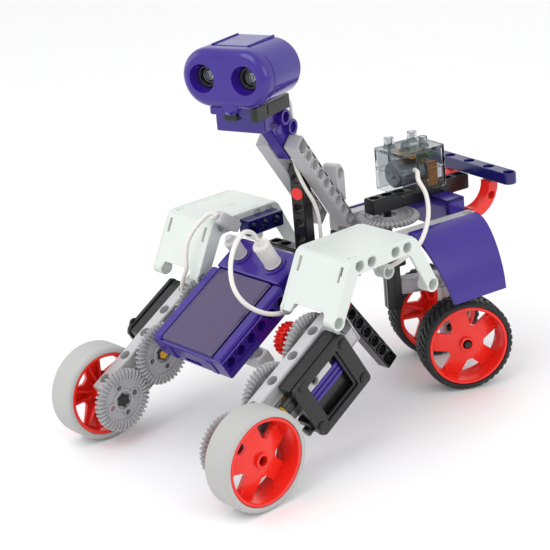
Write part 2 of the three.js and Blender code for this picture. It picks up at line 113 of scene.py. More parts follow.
def plastic(name, rgb, rough, vary=0.06, grain=0.02, coat=0.0, transmission=0.0, ior=1.46, metallic=0.0):
    """Moulded plastic: the colour drifts a little, the gloss is uneven, and the skin has a fine grain."""
    mat, nt, b = node_material(name)
    mix = nt.nodes.new("ShaderNodeMix")
    mix.data_type = "RGBA"
    nt.links.new(noise(nt, 35), mix.inputs["Factor"])
    c = srgb(*rgb)
    mix.inputs["A"].default_value = (*[x * (1 - vary) for x in c[:3]], 1)
    mix.inputs["B"].default_value = (*[min(1, x * (1 + vary)) for x in c[:3]], 1)
    nt.links.new(mix.outputs["Result"], b.inputs["Base Color"])
    nt.links.new(ranged(nt, noise(nt, 90, 4), rough * 0.85, min(1, rough * 1.2)), b.inputs["Roughness"])
    bump = nt.nodes.new("ShaderNodeBump")
    bump.inputs["Strength"].default_value = grain
    bump.inputs["Distance"].default_value = 0.0002
    nt.links.new(noise(nt, 2500, 2), bump.inputs["Height"])
    nt.links.new(bump.outputs["Normal"], b.inputs["Normal"])
    b.inputs["Coat Weight"].default_value = coat
    b.inputs["Coat Roughness"].default_value = 0.08
    b.inputs["Transmission Weight"].default_value = transmission
    b.inputs["IOR"].default_value = ior
    b.inputs["Metallic"].default_value = metallic
    return mat


M = {
    "grey": plastic("grey", (186, 185, 187), 0.34),
    "panel": plastic("panel", (208, 214, 209), 0.34),
    "gear": plastic("gear", (163, 163, 166), 0.38),
    "violet": plastic("violet", (48, 22, 128), 0.2, coat=0.25),
    "indigo": plastic("indigo", (22, 20, 92), 0.24, coat=0.2),
    "black": plastic("black", (26, 26, 27), 0.26, grain=0.05),
    "red": plastic("red", (232, 38, 26), 0.28, coat=0.2),
    "yellow": plastic("yellow", (222, 160, 20), 0.3),
    "green": plastic("green", (40, 105, 60), 0.4),
    "tyre_grey": plastic("tyre_grey", (176, 176, 174), 0.62, grain=0.15),
    "tyre_black": plastic("tyre_black", (28, 30, 31), 0.6, grain=0.25),
    "cable": plastic("cable", (222, 218, 212), 0.42),
    "white": plastic("white", (214, 212, 208), 0.35),
    "smoke_violet": plastic("smoke_violet", (84, 62, 122), 0.05, grain=0.0, coat=0.6, transmission=0.5),
    "smoke": plastic("smoke", (206, 210, 212), 0.03, grain=0.0, transmission=1.0, ior=1.2),
    "steel": plastic("steel", (150, 152, 158), 0.3, metallic=1.0),
    "copper": plastic("copper", (170, 105, 40), 0.35, metallic=0.7),
}


# ---------------------------------------------------------------- meshes, drawn in millimetres
def ring(cx, cy, r, n=32):
    turns = [2 * math.pi * i / n for i in range(n)]
    return [(cx + r * math.cos(a), cy + r * math.sin(a)) for a in turns]


def arc(cx, cy, r, a, b, n=12):
    turns = [rad(a + (b - a) * i / n) for i in range(n + 1)]
    return [(cx + r * math.cos(t), cy + r * math.sin(t)) for t in turns]


def rounded(points, r, n=4):
    """The outline with each corner rounded to about r."""
    out = []
    for i, p in enumerate(points):
        a, b = Vector(points[i - 1]), Vector(points[(i + 1) % len(points)])
        p = Vector(p)
        da, db = a - p, b - p
        cut = min(r, da.length * 0.45, db.length * 0.45)
        s, e = p + da.normalized() * cut, p + db.normalized() * cut
        for k in range(n + 1):
            t = k / n
            q = s * (1 - t) ** 2 + p * 2 * t * (1 - t) + e * t * t
            out.append((q.x, q.y))
    return out


def plate(outer, depth, holes=(), bevel=0.35):
    """A flat shape with holes, standing on XY from z = 0 to depth, with rounded edges."""
    cu = bpy.data.curves.new("plate", "CURVE")
    cu.dimensions = "2D"
    cu.fill_mode = "BOTH"
    bevel = min(bevel, depth * 0.45)
    cu.bevel_depth = bevel
    cu.bevel_resolution = 1
    cu.offset = -bevel
    cu.extrude = depth / 2 - bevel
    for loop in [outer, *holes]:
        sp = cu.splines.new("POLY")
        sp.points.add(len(loop) - 1)
        for p, (x, y) in zip(sp.points, loop):
            p.co = (x, y, 0, 1)
        sp.use_cyclic_u = True
    ob = bpy.data.objects.new("plate", cu)
    me = bpy.data.meshes.new_from_object(ob)
    bpy.data.objects.remove(ob)
    bpy.data.curves.remove(cu)
    return moved(me, Matrix.Translation((0, 0, depth / 2)), merge=True)


def moved(me, matrix, merge=False):
    bm = bmesh.new()
    bm.from_mesh(me)
    if merge:
        bmesh.ops.remove_doubles(bm, verts=bm.verts, dist=1e-3)
    bm.transform(matrix)
    if matrix.determinant() < 0:
        bmesh.ops.reverse_faces(bm, faces=bm.faces)
    bm.to_mesh(me)
    bm.free()
    return me


def join(*parts):
    bm = bmesh.new()
    for me in parts:
        bm.from_mesh(me)
    out = bpy.data.meshes.new("part")
    bm.to_mesh(out)
    bm.free()
    return out


AXES = {
    "x": Matrix(((0, 0, 1, 0), (1, 0, 0, 0), (0, 1, 0, 0), (0, 0, 0, 1))),
    "y": Matrix(((1, 0, 0, 0), (0, 0, 1, 0), (0, -1, 0, 0), (0, 0, 0, 1))),
    "z": Matrix.Identity(4),
}


def along(me, axis, a=0.0):
    """Turns a shape that stands on XY so that it stands along an axis, from a on.

    For y, the outline is (x, -z).
    """
    shift = {"x": (a, 0, 0), "y": (0, a, 0), "z": (0, 0, a)}[axis]
    return moved(me, Matrix.Translation(shift) @ AXES[axis])


def slab_x(outer, a, b, holes=(), bevel=0.35):
    """Outline of (y, z) pushed along X."""
    return along(plate(outer, b - a, holes, bevel), "x", a)


def slab_y(outer, a, b, bevel=0.35):
    """Outline of (x, z) pushed along Y."""
    return along(plate([(x, -z) for x, z in outer], b - a, (), bevel), "y", a)


def slab_z(outer, a, b, holes=(), bevel=0.35):
    """Outline of (x, y) pushed along Z."""
    return along(plate(outer, b - a, holes, bevel), "z", a)


def box(x, y, z, bevel=0.5, segments=2):
    bm = bmesh.new()
    bmesh.ops.create_cube(bm, size=1)
    size = [max(v) - min(v) for v in (x, y, z)]
    mid = [sum(v) / 2 for v in (x, y, z)]
    bm.transform(Matrix.Translation(mid) @ Matrix.Diagonal((*size, 1)))
    if bevel:
        bmesh.ops.bevel(
            bm, geom=bm.edges[:], offset=min(bevel, min(size) * 0.45), segments=segments, affect="EDGES",
        )
    me = bpy.data.meshes.new("box")
    bm.to_mesh(me)
    bm.free()
    return me


def turned(profile, n=64, closed=True):
    """(radius, x) points turned about X. An open profile starts and ends on the axis."""
    bm = bmesh.new()
    rows = []
    for r, x in profile:
        if r < 1e-6:
            rows.append([bm.verts.new((x, 0, 0))] * n)
        else:
            turns = [2 * math.pi * i / n for i in range(n)]
            rows.append([bm.verts.new((x, r * math.cos(a), r * math.sin(a))) for a in turns])
    pairs = list(zip(rows, rows[1:] + (rows[:1] if closed else [])))
    for p, q in pairs[: None if closed else len(rows) - 1]:
        for i in range(n):
            j = (i + 1) % n
            f = []
            for v in (p[i], p[j], q[j], q[i]):
                if v not in f:
                    f.append(v)
            if len(f) > 2:
                bm.faces.new(f)
    bmesh.ops.recalc_face_normals(bm, faces=bm.faces)
    me = bpy.data.meshes.new("turned")
    bm.to_mesh(me)
    bm.free()
    return me


def placed(me, axis, c):
    """Turns a shape about X so that it is about an axis, at c on the other two coordinates."""
    if axis == "x":
        return moved(me, Matrix.Translation((0, c[0], c[1])))
    if axis == "y":
        return moved(me, Matrix.Translation((c[0], 0, c[1])) @ Matrix.Rotation(rad(90), 4, "Z"))
    return moved(me, Matrix.Translation((c[0], c[1], 0)) @ Matrix.Rotation(rad(-90), 4, "Y"))


def rod(axis, r, a, b, c=(0, 0), n=32, bevel=0.3):
    """A rod along an axis from a to b, at c on the other two coordinates in X, Y, Z order."""
    bevel = min(bevel, r * 0.4, (b - a) * 0.4)
    line = [(0, a), (r - bevel, a), (r, a + bevel), (r, b - bevel), (r - bevel, b), (0, b)]
    return placed(turned(line, n, closed=False), axis, c)


def tube(axis, r, hole, a, b, c=(0, 0), n=32, bevel=0.25):
    """A rod with a bore, its four edges bevelled."""
    start = [(hole, a + bevel), (hole + bevel, a), (r - bevel, a), (r, a + bevel)]
    end = [(r, b - bevel), (r - bevel, b), (hole + bevel, b), (hole, b - bevel)]
    return placed(turned([*start, *end], n), axis, c)


def carve(me, *cutters):
    """The mesh with the cutters taken out of it."""
    scene = bpy.context.scene
    a = bpy.data.objects.new("a", me)
    b = bpy.data.objects.new("b", join(*cutters))
    scene.collection.objects.link(a)
    scene.collection.objects.link(b)
    mod = a.modifiers.new("cut", "BOOLEAN")
    mod.operation = "DIFFERENCE"
    mod.solver = "EXACT"
    mod.use_self = True
    mod.object = b
    out = bpy.data.meshes.new_from_object(a.evaluated_get(bpy.context.evaluated_depsgraph_get()))
    bpy.data.objects.remove(a)
    bpy.data.objects.remove(b)
    return out


T = lambda x=0, y=0, z=0: Matrix.Translation((x, y, z))
RX = lambda d: Matrix.Rotation(rad(d), 4, "X")
RY = lambda d: Matrix.Rotation(rad(d), 4, "Y")
RZ = lambda d: Matrix.Rotation(rad(d), 4, "Z")
FLIP = Matrix.Diagonal((-1, 1, 1, 1))


def piece(name, body, material, me, matrix=None, replaces=()):
    """One visible piece, from a mesh in millimetres in the frame that matrix gives."""
    me = moved(me, Matrix.Scale(MM, 4) @ (matrix or Matrix.Identity(4)))
    me.name = name
    me.materials.clear()
    me.materials.append(M[material])
    me.polygons.foreach_set("use_smooth", [True] * len(me.polygons))
    me.set_sharp_from_angle(angle=rad(32))
    ob = bpy.data.objects.new(name, me)
    bpy.context.scene.collection.objects.link(ob)
    mod = ob.modifiers.new("normals", "WEIGHTED_NORMAL")
    mod.keep_sharp = True
    mod.weight = 80
    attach(ob, body)
    if replaces:
        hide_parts(*replaces)
    return ob


# ---------------------------------------------------------------- frames of the assembly
LEGS = T(0, 0, WHEEL_R) @ RX(LEG_RISE)
NECK = T(0, NECK_Y, 0) @ RZ(NECK_TURN)
SLOPE = T(0, -11.9, 179.1) @ RX(-NECK_LEAN)  # along the neck beams, from their top hole down
LEAN = NECK @ SLOPE
TAIL = T(0, TAIL_Y, 0) @ RZ(TAIL_TURN) @ T(0, -TAIL_Y, 0)
SWIVEL = TAIL @ T(0, SWIVEL_Y, 0) @ RZ(SWIVEL_TURN)
SIDES = (("left", Matrix.Identity(4)), ("right", FLIP))


# ---------------------------------------------------------------- cables
def smooth_run(points):
    """Points of a centripetal Catmull-Rom curve through the given ones."""
    per = 8  # steps between two points
    p = [Vector(q) for q in points]
    p = [p[0] * 2 - p[1], *p, p[-1] * 2 - p[-2]]
    out = []
    for i in range(len(p) - 3):
        a, b, c, d = p[i : i + 4]
        t0 = 0.0
        t1 = t0 + (b - a).length ** 0.5
        t2 = t1 + (c - b).length ** 0.5
        t3 = t2 + (d - c).length ** 0.5
        for k in range(per):
            t = t1 + (t2 - t1) * k / per
            mix = lambda u, v, s, e: u * ((e - t) / (e - s)) + v * ((t - s) / (e - s))
            ab, bc, cd = mix(a, b, t0, t1), mix(b, c, t1, t2), mix(c, d, t2, t3)
            abc, bcd = mix(ab, bc, t0, t2), mix(bc, cd, t1, t3)
            out.append(mix(abc, bcd, t1, t2))
    out.append(p[-2])
    return out


def cable(name, points, diameter, matrix=None):
    run = smooth_run(points)
    run = [(matrix @ q if matrix else q) * MM for q in run]
    cu = bpy.data.curves.new(name, "CURVE")
    cu.dimensions = "3D"
    cu.bevel_depth = diameter / 2 * MM
    cu.bevel_resolution = 4
    cu.use_fill_caps = True
    sp = cu.splines.new("POLY")
    sp.points.add(len(run) - 1)
    for p, q in zip(sp.points, run):
        p.co = (*q, 1)
    cu.splines[0].use_smooth = True
    cu.materials.append(M["cable"])
    ob = bpy.data.objects.new(name, cu)
    bpy.context.scene.collection.objects.link(ob)
    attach(ob, "chassis")
    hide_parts(name)


# fmt: off
CABLES = {
    "cable_case": [
        (15, 72.9, 129), (
            15.4, 69, 134.6,
        ), (18, 60, 138), (22, 48.5, 132.5), (25.5, 41.5, 122), (29.5, 39.5, 111),
        (33.5, 43, 101.5), (37, 52, 93.5), (38.2, 63, 89), (38.2, 74, 88.5), (38, 84, 92),
    ],
    "cable_motor": [
        (34, 192.6, 146), (38.5, 190.5, 146), (44, 185.5, 143), (50, 185.5, 134.6), (56, 180.6, 123),
        (62, 168.5, 112.6), (64.5, 158.5, 108), (62, 149, 103.5), (57, 141, 99),
    ],
    "cable_plug": [
        (-52.1, 61, 85.2), (-48.3, 60, 93.5), (-44.8, 60.8, 101.5), (-46, 62.3, 107.7), (-47, 65.4, 116.5),
        (-46, 70.2, 123.8), (-43, 76, 130), (-38, 79.8, 134.6), (-34.7, 82, 132.9),
    ],
}
HEAD_CABLE = [
    (4, -13.6, 209), (4.2, -8.5, 208.6), (4.2, -5, 204), (3.4, -3, 195), (3, -0.5, 186), (2.6, 1.8, 177),
    (
        2.4, -0.2, 170.5,
    ), (2.6, -2.6, 165), (5, -2.6, 156.5), (8, -1.8, 149), (11, 3, 137), (12.2, 5, 127), (11, 8, 105),
]
# fmt: on
for name, points in CABLES.items():
    cable(name, points, 3.0)
cable("cable_head", HEAD_CABLE, 2.4, NECK)


# ---------------------------------------------------------------- beams and gears
def beam(cells, side=(), top=()):
    """A kit beam along +Y, its first cell on the origin, with side holes along X and top holes along Z."""
    h = w = PITCH / 2
    end = (cells - 1) * PITCH + h
    body = box((-w, w), (-5, end), (-h, h), bevel=0.55)
    cuts = [rod("x", HOLE_R, -w - 1, w + 1, (i * PITCH, 0), bevel=0) for i in side]
    cuts += [rod("z", HOLE_R, -h - 1, h + 1, (0, i * PITCH), bevel=0) for i in top]
    if side:
        frame_line = rounded([(-4.1, -4.1), (end - 0.9, -4.1), (end - 0.9, 4.1), (-4.1, 4.1)], 0.6, 2)
        rings = [ring(i * 10, 0, 4.15, 24) for i in side]
        for a in (-w - 1, w - 0.9):
            cuts.append(slab_x(frame_line, a, a + 1.9, rings, bevel=0))
    return carve(body, *cuts)


def star(axis, a, b, r=AXLE_R, c=(0, 0)):
    """A star-shaped axle."""
    outline = []
    for i in range(12):
        reach = r if i % 2 == 0 else r * 0.72
        outline.append((reach * math.cos(rad(30 * i)), reach * math.sin(rad(30 * i))))
    me = plate(rounded(outline, 0.5, 2), b - a, bevel=0.15)
    me = along(me, axis, a)
    off = {"x": (0, c[0], c[1]), "y": (c[0], 0, c[1]), "z": (c[0], c[1], 0)}[axis]
    return moved(me, T(*off))


def tooth_row(teeth, line, wide, phase=0.0):
    """Ridges round a gear about X. Line holds (radius, x) points of the ridge's crest, from face to face."""
    bm = bmesh.new()
    for i in range(teeth):
        mid = (i + phase) * 2 * math.pi / teeth
        rows = []
        for s in (-1, -0.45, 0.45, 1):
            row = []
            for r, x in line:
                depth = 0.0 if abs(s) < 0.5 else 1.6
                rr = max(r - depth, 13.9)
                a = mid + s * wide / r
                row.append(bm.verts.new((x, rr * math.cos(a), rr * math.sin(a))))
            rows.append(row)
        for p, q in zip(rows, rows[1:]):
            for k in range(len(line) - 1):
                bm.faces.new((p[k], p[k + 1], q[k + 1], q[k]))
    bmesh.ops.recalc_face_normals(bm, faces=bm.faces)
    me = bpy.data.meshes.new("teeth")
    bm.to_mesh(me)
    bm.free()
    return me


def big_gear(phase=0.0):
    """The 40-tooth gear with rounded ridges, from x = 0 to 4.8, and its hub."""
    line = [
        (14.2, 1.0), (16.0, 0.2), (18.2, 0.1), (19.8, 0.6), (20.7, 1.5), (20.9, 2.4),
        (20.7, 3.3), (19.8, 4.2), (18.2, 4.7), (16.0, 4.6), (14.2, 3.8),
    ]
    core = turned([
        (13.4, 1.2), (14.4, 0.8), (16.2, 0.8), (18.0, 1.0), (19.0, 1.8),
        (19.0, 3.0), (18.0, 3.8), (16.2, 4.0), (14.4, 4.0), (13.4, 3.6),
    ])
    spots = [(9.3 * math.cos(rad(90 * k - 16)), 9.3 * math.sin(rad(90 * k - 16))) for k in range(4)]
    web = slab_x(
        ring(0, 0, 13.9, 48), 1.8, 3.4, [ring(0, 0, 2.9, 24), *[ring(*at, 1.9, 16) for at in spots]],
        bevel=0.2,
    )
    eyes = [tube("x", 2.9, 1.9, 0.6, 4.2, at, 20, 0.25) for at in spots]
    hub = tube("x", 5.3, BORE_R, 2.2, 7.0, n=40, bevel=0.4)
    collar = tube("x", 7.4, 5.9, 0.5, 4.0, n=40)
    return join(core, web, hub, collar, tooth_row(40, line, 0.95, phase), *eyes)


def small_gear():
    """The 20-tooth gear with rounded ridges, from x = 0 to 6.8, and its long hub."""
    line = [(8.4, 0.4), (9.6, 0.1), (10.6, 0.9), (10.9, 3.4), (10.6, 5.9), (9.6, 6.7), (8.4, 6.4)]
    core = turned([(2.9, 0.4), (8.6, 0.4), (9.0, 1.2), (9.0, 5.6), (8.6, 6.4), (2.9, 6.4)])
    bm = bmesh.new()
    for i in range(20):
        mid = i * rad(18)
        rows = []
        for s, d in ((-0.9, 1.8), (-0.45, 0), (0.45, 0), (0.9, 1.8)):
            spin = [(x, r - d, mid + s / r) for r, x in line]
            rows.append([bm.verts.new((x, q * math.cos(a), q * math.sin(a))) for x, q, a in spin])
        for p, q in zip(rows, rows[1:]):
            for k in range(len(line) - 1):
                bm.faces.new((p[k], p[k + 1], q[k + 1], q[k]))
    bmesh.ops.recalc_face_normals(bm, faces=bm.faces)
    me = bpy.data.meshes.new("teeth")
    bm.to_mesh(me)
    bm.free()
    return join(core, me, tube("x", 5, 2.9, 6, 18.1))


# ---------------------------------------------------------------- wheels
def rim():
    """The five-spoked rim about X, outer face towards +X."""
    barrel = turned([
        (24.6, -9.2), (25.2, -9.7), (26.9, -9.7), (26.9, 9.0), (26.4, 9.7),
        (25.0, 9.7), (24.4, 8.8), (23.6, -0.6), (23.6, -3.2), (24.4, -4.2),
    ], 96)
    dish = turned([(4.4, 1.6), (9, 1.4), (24.2, -3.0), (24.2, -0.8), (9, 4.0), (4.4, 4.4)], 96)
    windows = []
    for i in range(5):
        mid = -7 + 72 * i
        shape = [*arc(0, 0, 12.5, mid - 8, mid + 8, 2), *arc(0, 0, 23.9, mid + 21, mid - 21, 6)]
        windows.append(slab_x(rounded(shape, 1.2, 2), -5, 9, bevel=0))
    dish = carve(dish, *windows)
    hub = tube("x", 4.8, 3.1, -7, 7.2, n=40, bevel=0.4)
    inner = tube("x", 6.5, 3.1, -7, 3.6, n=40)
    ribs = []
    for i in range(5):
        for edge in (-11, 11):
            rib = box((-4.6, 0.4), (9, 24.2), (-0.6, 0.6), bevel=0.2, segments=1)
            ribs.append(moved(rib, RX(72 * i + 29 + edge)))
    return join(barrel, dish, hub, inner, *ribs)


def front_tyre():
    profile = [
        (27.1, -9.9), (28.3, -10), (29.6, -9.7), (30.5, -8.9), (31, -7.4), (31, 7.4), (30.5, 8.9),
        (29.6, 9.7), (28.3, 10), (27.1, 9.9),
    ]
    return turned(profile, 128)


def rear_tyre():
    base = turned(
        [
            (27.1, -9.9), (28.8, -9.9), (29.7, -9.2), (30.1, -8), (30.1, 8), (29.7, 9.2), (28.8, 9.9),
            (27.1, 9.9),
        ],
        96,
    )
    bm = bmesh.new()
    count = 42
    for i in range(count):
        for side in (-1, 1):
            mid = (i + (0.5 if side > 0 else 0)) * 2 * math.pi / count
            rows = []
            for x, lag in ((0.35, 0.0), (3.2, 1.6), (6.4, 2.6), (8.4, 2.9), (9.5, 2.9)):
                top = 31.0 if x < 8 else (30.7 if x < 9 else 29.7)
                cross = []
                for w, r in ((-1.55, top - 1.3), (-1.2, top), (1.2, top), (1.55, top - 1.3)):
                    a = mid + (w + lag) / 31
                    cross.append(bm.verts.new((side * x, r * math.cos(a), r * math.sin(a))))
                rows.append(cross)
            for p, q in zip(rows, rows[1:]):
                for k in range(3):
                    bm.faces.new((p[k], p[k + 1], q[k + 1], q[k]))
            bm.faces.new(rows[0])
            bm.faces.new(rows[-1])
    bmesh.ops.recalc_face_normals(bm, faces=bm.faces)
    me = bpy.data.meshes.new("tread")
    bm.to_mesh(me)
    bm.free()
    return join(base, me)


# ---------------------------------------------------------------- shoulder panels
def shoulder():
    """A shoulder panel for the left side: two flanges, a sloping front plate and a level top plate."""
    line = [
        *arc(-20, -30, 5, 180, 360, 12), *rounded([(-15, -30), (-1.5, -5), (41.5, -5), (55, -30)], 3)[5:15],
        *arc(60, -30, 5, 180, 360, 12), *rounded([(65, -30), (47.5, 5), (-7.5, 5), (-25, -30)], 4.5, 5)[6:18],
    ]
    spots = [(y, 0) for y in (0, 10, 30, 40)]
    holes = [ring(y, z, 3.5, 28) for y, z in spots + [(-20, -30), (60, -30)]]
    parts = [slab_x(line, 0, 2.4, holes, 0.55), slab_x(line, 44.9, 47.3, holes, 0.55)]
    for y, z in spots:
        for a, b in ((0.25, 8.5), (38.8, 47.05)):
            parts.append(tube("x", 4.3, 3.45, a, b, (y, z), 28, 0.2))
    parts.append(tube("x", 5, 3.5, 0.2, 2.4, (-20, -30)))
    for a, b, spot in ((0.2, 9, (60, -30)), (38.3, 47.1, (-20, -30)), (38.3, 47.1, (60, -30))):
        parts.append(tube("x", 4.9, 3.5, a, b, spot))
    length = math.hypot(17.5, 35)
    low = 5.8
    front = rounded(
        [
            (1.2, 0), (9, 0), (10.5, low), (36.8, low), (38.3, 0), (46.1, 0), (46.1, length - 1),
            (1.2, length - 1),
        ],
        1.5,
    )
    slots = [
        rounded(
            [(u, length - 14), (u + 2.2, length - 14), (u + 2.2, length - 3.5), (u, length - 3.5)], 1, 3,
        )
        for u in (4.6, 40.5)
    ]
    skin = plate(front, 2.2, slots, 0.4)
    tilt = math.degrees(math.atan2(35, 17.5))
    parts.append(moved(skin, T(0, -25, -30) @ RX(tilt) @ T(0, 0, -2.5)))
    cover = rounded([(1.2, -7.3), (46.1, -7.3), (46.1, 47.3), (1.2, 47.3)], 1.5)
    long_slots = [rounded([(u, -4.6), (u + 2.2, -4.6), (u + 2.2, 2), (u, 2)], 1, 3) for u in (4.6, 40.5)]
    parts.append(slab_z(cover, 2.3, 4.6, long_slots, 0.4))
    bend = [(-9.2, 0.9), (-7.9, 3.5), (-6.4, 4.6), (-4.6, 4.7), (-4.6, 2.6), (-6.2, 2.0), (-7.2, 0.2)]
    parts.append(slab_x(bend, 1.2, 46.1, bevel=0.2))
    for u in (4.9, 42.4):
        for v in (10, 21, 32):
            parts.append(
                moved(
                    rod("z", 1.0, 4.3, 5.0, n=20, bevel=0.35),
                    T(u, v, 0) @ Matrix.Diagonal((1.3, 3.4, 1, 1)),
                )
            )
    parts.append(rod("z", 4.2, 4.3, 5.0, (23.6, 24), 36, 0.35))
    return join(*parts)


# ---------------------------------------------------------------- motor housings of the legs
def motor_frame():
    """Drawn in the left leg's frame."""
    t0, t1, n0, n1 = 45.5, 94.5, -37.5, 4.5
    outer = rounded(
        [
            (t0, n0 + 3), (t0 + 3, n0), (t1 - 2, n0), (t1, n0 + 2), (t1, n1 - 2), (t1 - 2, n1),
            (t0 + 3, n1), (t0, n1 - 3),
        ],
        1, 2,
    )
    window = rounded([(t0 + 11, n0 + 7.5), (t1 - 12, n0 + 7.5), (t1 - 12, n1 - 7), (t0 + 11, n1 - 7)], 1, 2)
    inner = rounded([(t0 + 9, n0 + 5.5), (t1 - 10, n0 + 5.5), (t1 - 10, n1 - 5), (t0 + 9, n1 - 5)], 1, 2)
    parts = [slab_x(outer, 78.4, 80, [inner], 0.4), slab_x(outer, 76.9, 78.6, [window], 0.3)]
    wall = [(t0 + 1, n0 + 1), (t1 - 1, n0 + 1), (t1 - 1, n1 - 0.5), (t0 + 1, n1 - 0.5)]
    room = [(t0 + 4.5, n0 + 4.5), (t1 - 4.5, n0 + 4.5), (t1 - 4.5, n1 - 4), (t0 + 4.5, n1 - 4)]
    parts.append(slab_x(rounded(wall, 1.5, 2), 65.4, 75.4, [room], 0.5))
    parts.append(
        slab_x(
            rounded([(t0 + 2, n0 + 2), (t1 - 2, n0 + 2), (t1 - 2, n1 - 1.3), (t0 + 2, n1 - 1.3)], 1), 74,
            77.5, [room], 0.3,
        )
    )
    for t in (t0 + 14, t0 + 26, t0 + 38):
        parts.append(box((66.5, 74.5), (t - 4.4, t + 4.4), (n0 + 0.3, n0 + 2), 0.3))
    for t, n in ((t0 + 3.6, n0 + 7), (t1 - 4.5, n0 + 5), (t1 - 4, n1 - 6), (t0 + 8, n1 - 2.2)):
        parts.append(rod("x", 3.1, 79, 81.6, (t, n), 28, 0.6))
        parts.append(tube("x", 3.6, 1.2, 79, 80.9, (t, n), 28, 0.3))
    parts.append(box((67, 77), (t0 - 1.6, t0 + 2.5), (n0 + 10, n0 + 15), 0.4))
    parts.append(box((67, 77), (t1 - 2, t1 + 1.6), (n0 + 12, n0 + 17), 0.4))
    parts.append(rod("y", 3.2, t0 - 3.5, t0 + 2, (71, n0 + 6), 24))
    return join(*parts)


def leg_plate():
    """A leg's side wall, three cells high, drawn in the left leg's frame."""
    low, high = -15.8, 14.2
    body = box((57, 67), (-5, 105), (low, high), bevel=0.6)
    cuts = [rod("x", 3.5, 56, 68, (20 * i, 0), bevel=0) for i in range(6)]
    cuts += [rod("z", 3.5, high - 9, high + 1, (62, 20 * i + 3), bevel=0) for i in range(5)]
    for a in (56, 66.1):
        for n0, n1 in ((low + 1, -5), (-4.2, 4.2), (5, high - 1)):
            line = rounded([(-4, n0), (104, n0), (104, n1), (-4, n1)], 0.6, 2)
            rings = [ring(20 * i, 0, 4.15, 24) for i in range(6)] if n0 == -4.2 else []
            cuts.append(slab_x(line, a, a + 1.9, rings, bevel=0))
    return carve(body, *cuts)


for side, flip in SIDES:
    leg = LEGS @ T(LEG_MID, 0, 0) @ flip
    house = leg @ T(2, -5.5, 8.1)
    piece(f"leg_plate_{side}_v", "chassis", "grey", leg_plate(), leg, [f"leg_plate_{side}"])
    for letter, t, body in (
        ("a", 0, f"drive_{side}"), ("b", GEAR_STEP, f"idler_{side}"),
        ("c", 2 * GEAR_STEP, f"motor_gear_{side}"),
    ):
        at = leg @ T(GEAR_X, t, 0)
        g = big_gear(0.5 if letter == "b" else 0.0)
        piece(f"gear_{letter}_{side}_v", body, "gear", g, at, [f"gear_{letter}_{side}"])
        end = WHEEL_MID + 1 - GEAR_X if letter == "a" else 16.8
        start = 0.8 if letter != "b" else 1.4
        shade = "yellow" if letter == "b" else "black"
        piece(f"axle_{letter}_{side}", body, shade, star("x", start, end), at)
        piece(f"bush_{letter}_{side}", body, "black", star("x", 0.5, 2.1, 5.0), at)
        if letter == "b":
            piece(f"bush_star_{side}", body, "yellow", star("x", 0.3, 2.0, 3.6), at)
    at = T(LEG_MID, 0, 0) @ flip @ T(WHEEL_MID, 0, WHEEL_R)
    piece(f"rim_front_{side}_v", f"drive_{side}", "red", rim(), at, [f"rim_front_{side}"])
    piece(
        f"tyre_front_{side}_v", f"drive_{side}", "tyre_grey", front_tyre(), at,
        [f"tyre_front_{side}"],
    )
    panel = flip @ T(40, 89.8, 122.3)
    piece(f"shoulder_{side}_v", "chassis", "panel", shoulder(), panel, [f"shoulder_{side}"])
    piece(
        f"motor_frame_{side}_v", "chassis", "black", motor_frame(), house,
        [f"motor_frame_{side}"],
    )
    inside = join(box((65.9, 74.2), (50.4, 90.6), (-32.6, 0.6), 0.6), rod("y", 4.1, 38.6, 52, (71.4, -6)))
    piece(f"leg_motor_{side}_v", "chassis", "black", inside, house, [f"leg_motor_{side}"])
    strip = slab_x(
        rounded([(57, -8.6), (78, -8.6), (78, -1.8), (57, -1.8)], 0.6, 2), 74, 76.8,
        [ring(63.5, -5.2, 2.7, 24)], 0.3,
    )
    strip = join(strip, tube("x", 3.3, 2.6, 74.5, 77.3, (63.5, -5.2), 24))
    piece(f"motor_strip_{side}", "chassis", "grey", strip, house)
    bars = [box((73.8, 76.2), (57, 83), (-19.5 + 3.6 * k, -16.4 + 3.6 * k), 0.4) for k in range(3)]
    piece(f"motor_band_{side}", "chassis", "violet", join(*bars), house)
    piece(
        f"motor_tip_{side}", "chassis", "yellow", rod("y", 3.3, 37.8, 39.2, (71.4, -6)), house,
    )


# ---------------------------------------------------------------- beams that tie things together
def pin(r=3.3, length=6.0):
    """A snap pin along +X from the origin, its collar first."""
    return join(rod("x", r, -1.2, length, n=24), tube("x", 4.1, 1.6, -1.3, -0.2, n=24, bevel=0.3))


link = T(49.7, 143, 33.5) @ RX(126.8)
piece("link_beam_v", "chassis", "black", beam(9, range(9)), link @ T(0, 5, 0), ["link_beam"])
piece("link_pin", "chassis", "red", moved(pin(), FLIP @ T(-5.4, 0, 0)), link @ T(0, 65, 0))
piece("link_clip", "chassis", "violet", box((-4.6, 5.6), (76, 90), (5.3, 9.6), 0.7), link)
piece(
    "shoulder_beam_v", "chassis", "indigo", beam(3, range(3)), T(-34.7, 108, 118.5),
    ["shoulder_beam"],
)
low = LEGS @ T(-35, 60, 1.5) @ RZ(-90)
piece("cross_beam_low_v", "chassis", "grey", beam(8, (), range(8)), low, ["cross_beam_low"])
cross = moved(beam(8, (), (0, 1, 6, 7)), T(-34.7, 129, 97.6) @ RZ(-90))
spine = moved(beam(3, (0, 1, 2)), TAIL @ T(0, 139, 97.6))
bar = moved(beam(7, (), range(7)), TAIL @ T(-29.7, 165.7, 97.6) @ RZ(-90))
piece(
    "frame_tie_v", "chassis", "black", join(cross, spine, bar), Matrix.Identity(4),
    ["frame_tie"],
)
piece(
    "red_gear_v", "motor_gear_left", "red", small_gear(), LEGS @ T(37.6, 2 * GEAR_STEP, 0),
    ["red_gear"],
)


